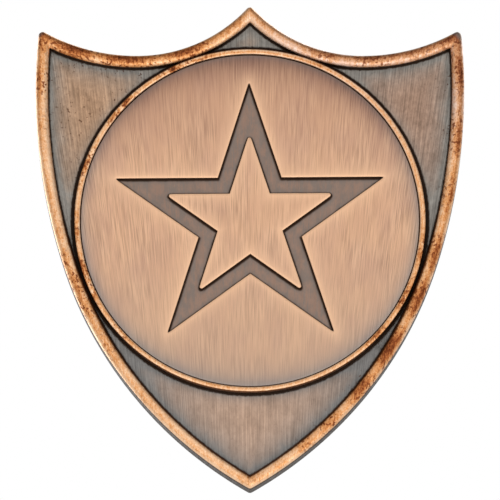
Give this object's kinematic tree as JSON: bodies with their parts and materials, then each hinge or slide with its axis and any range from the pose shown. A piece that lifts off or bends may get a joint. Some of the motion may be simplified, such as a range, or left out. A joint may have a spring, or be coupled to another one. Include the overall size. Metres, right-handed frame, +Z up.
{
  "type": "shield lapel badge",
  "caption": "Shield-shaped lapel badge in antique copper with a round star centre, a hinged pin and a turning safety catch on its back.",
  "frame": {"origin": "centre of the round seat, on the flat back of the shield", "axes": "+X to the right as seen from the front, +Y out of the back towards the wearer, +Z up to the middle peak; the front faces -Y"},
  "size_m": [0.0316, 0.0063, 0.0364],
  "materials": {
    "antique_copper": "cast and copper plated, darkened in the recesses and relieved by hand on the raised edges",
    "brushed_copper": "stamped disc, copper plated, antiqued and brushed straight up and down",
    "adhesive": "thin double-sided adhesive film, translucent amber",
    "nickel_fitting": "pressed steel, nickel plated, satin",
    "pin_steel": "hard drawn wire, nickel plated, bright",
    "catch_nickel": "turned part, nickel plated, satin"
  },
  "bodies": {
    "badge": {"shield_body": "antique_copper", "star_disc": "brushed_copper", "disc_adhesive": "adhesive", "brooch_bar": "nickel_fitting", "hinge_rivet": "nickel_fitting", "catch_housing": "nickel_fitting"},
    "pin": {"pin_stem": "pin_steel"},
    "catch": {"catch_barrel": "catch_nickel"}
  },
  "joints": [
    {"name": "pin_swing", "type": "hinge", "parent": "badge", "child": "pin", "pos_m": [-0.0106, 0.0025, 0.0055], "axis": [0, 0, 1], "range_deg": [0, 100]},
    {"name": "catch_turn", "type": "hinge", "parent": "badge", "child": "catch", "pos_m": [0.0107, 0.0025, 0.0055], "axis": [1, 0, 0], "range_deg": [0, 100]}
  ]
}
